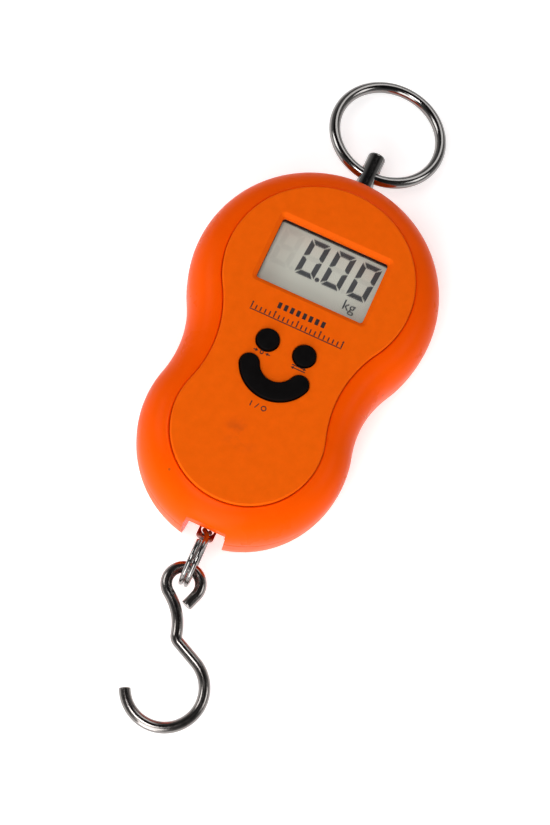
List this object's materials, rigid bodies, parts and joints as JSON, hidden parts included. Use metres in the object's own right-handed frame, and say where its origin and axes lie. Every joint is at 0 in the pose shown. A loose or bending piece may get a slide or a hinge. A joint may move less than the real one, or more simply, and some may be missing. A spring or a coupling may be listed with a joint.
{
  "type": "hanging digital fish scale",
  "caption": "Hand-held hanging scale in a two-lobed plastic case with a display, push buttons, a hanger ring on a stem and a wire hook on a split ring below.",
  "frame": {"origin": "on the flat back of the rear shell, under the centre of the case's lower (hook-end) lobe", "axes": "+Y along the case towards the hanger ring, +Z out of the display, +X to the right of a reader facing the display"},
  "size_m": [0.0692, 0.1979, 0.031],
  "materials": {
    "orange_abs": "moulded ABS, semi-gloss",
    "orange_satin_abs": "moulded ABS, satin",
    "black_silicone": "matte",
    "black_plastic": "matte",
    "clear_acrylic": "clear, polished",
    "lcd_glass": "grey-green liquid crystal panel",
    "bright_steel": "nickel-plated, polished",
    "nickel_wire": "darker nickel plate",
    "milled_aluminium": "milled",
    "zinc_screw": "zinc-plated",
    "board_green": "solder mask",
    "gauge_foil": "polyimide foil",
    "contact_plate": "nickel-plated spring steel",
    "battery_jacket": "printed jacket",
    "red_insulation": "PVC",
    "black_insulation": "PVC",
    "white_insulation": "PVC"
  },
  "bodies": {
    "case": {"front_shell": "orange_abs", "rear_shell": "orange_abs", "face_plate": "orange_satin_abs", "display_lens": "clear_acrylic", "display_gasket": "black_plastic", "lcd_panel": "lcd_glass", "zebra_strip_upper": "black_silicone", "zebra_strip_lower": "black_silicone", "tare_switch_base": "black_plastic", "unit_switch_base": "black_plastic", "power_switch_base": "black_plastic", "main_board": "board_green", "controller_chip": "black_plastic", "board_screw_upper_right": "zinc_screw", "board_screw_upper_left": "zinc_screw", "board_screw_lower_right": "zinc_screw", "board_screw_lower_left": "zinc_screw", "load_cell": "milled_aluminium", "strain_gauge_upper": "gauge_foil", "strain_gauge_lower": "gauge_foil", "hanger_stem": "bright_steel", "hanger_nut": "zinc_screw", "swivel_washer": "zinc_screw", "battery_left": "battery_jacket", "battery_right": "battery_jacket", "contact_plus": "contact_plate", "contact_minus": "contact_plate", "contact_spring_minus": "contact_plate", "bridge_contact": "contact_plate", "bridge_spring": "contact_plate", "battery_lead_red": "red_insulation", "battery_lead_black": "black_insulation", "gauge_lead_white": "white_insulation", "gauge_lead_red": "red_insulation", "case_screw_upper_right": "zinc_screw", "case_screw_upper_left": "zinc_screw", "case_screw_lower_right": "zinc_screw", "case_screw_lower_left": "zinc_screw"},
    "hanger_ring": {"hanger_ring": "bright_steel"},
    "swivel": {"swivel_stem": "bright_steel", "swivel_nut": "zinc_screw"},
    "split_ring": {"split_ring": "bright_steel"},
    "hook": {"hook": "nickel_wire"},
    "tare_button": {"tare_button": "black_silicone"},
    "unit_button": {"unit_button": "black_silicone"},
    "power_button": {"power_button": "black_silicone"},
    "tare_plunger": {"tare_switch_plunger": "contact_plate"},
    "unit_plunger": {"unit_switch_plunger": "contact_plate"},
    "power_plunger": {"power_switch_plunger": "contact_plate"},
    "battery_cover": {"battery_cover": "orange_abs"}
  },
  "joints": [
    {"name": "hanger_ring_swing", "type": "hinge", "parent": "case", "child": "hanger_ring", "pos_m": [0, 0.0855, 0.017], "axis": [1, 0, 0], "range_deg": [-92, 108]},
    {"name": "swivel_turn", "type": "hinge", "parent": "case", "child": "swivel", "pos_m": [0.0011, -0.0264, 0.017], "axis": [0, 1, 0], "range_deg": [-45, 45]},
    {"name": "split_ring_swing", "type": "hinge", "parent": "swivel", "child": "split_ring", "pos_m": [0.0011, -0.0264, 0.017], "axis": [0, 0, 1], "range_deg": [-20, 20]},
    {"name": "hook_swing", "type": "hinge", "parent": "split_ring", "child": "hook", "pos_m": [0.0011, -0.04167, 0.01543], "axis": [0, 0, 1], "range_deg": [-75, 60]},
    {"name": "tare_press", "type": "slide", "parent": "case", "child": "tare_button", "axis": [0, 0, -1], "range_m": [0, 0.0006], "stiffness_N_per_m": 300},
    {"name": "unit_press", "type": "slide", "parent": "case", "child": "unit_button", "axis": [0, 0, -1], "range_m": [0, 0.0006], "stiffness_N_per_m": 300},
    {"name": "power_press", "type": "slide", "parent": "case", "child": "power_button", "axis": [0, 0, -1], "range_m": [0, 0.0006], "stiffness_N_per_m": 300},
    {"name": "tare_plunger_press", "type": "slide", "parent": "case", "child": "tare_plunger", "axis": [0, 0, -1], "range_m": [0, 0.00036]},
    {"name": "unit_plunger_press", "type": "slide", "parent": "case", "child": "unit_plunger", "axis": [0, 0, -1], "range_m": [0, 0.00036]},
    {"name": "power_plunger_press", "type": "slide", "parent": "case", "child": "power_plunger", "axis": [0, 0, -1], "range_m": [0, 0.00036]},
    {"name": "battery_cover_hinge", "type": "hinge", "parent": "case", "child": "battery_cover", "pos_m": [0, 0.061, 0], "axis": [1, 0, 0], "range_deg": [0, 75]}
  ],
  "couplings": [
    {"joint": "tare_plunger_press", "follows": "tare_press", "ratio": 0.6},
    {"joint": "unit_plunger_press", "follows": "unit_press", "ratio": 0.6},
    {"joint": "power_plunger_press", "follows": "power_press", "ratio": 0.6}
  ]
}
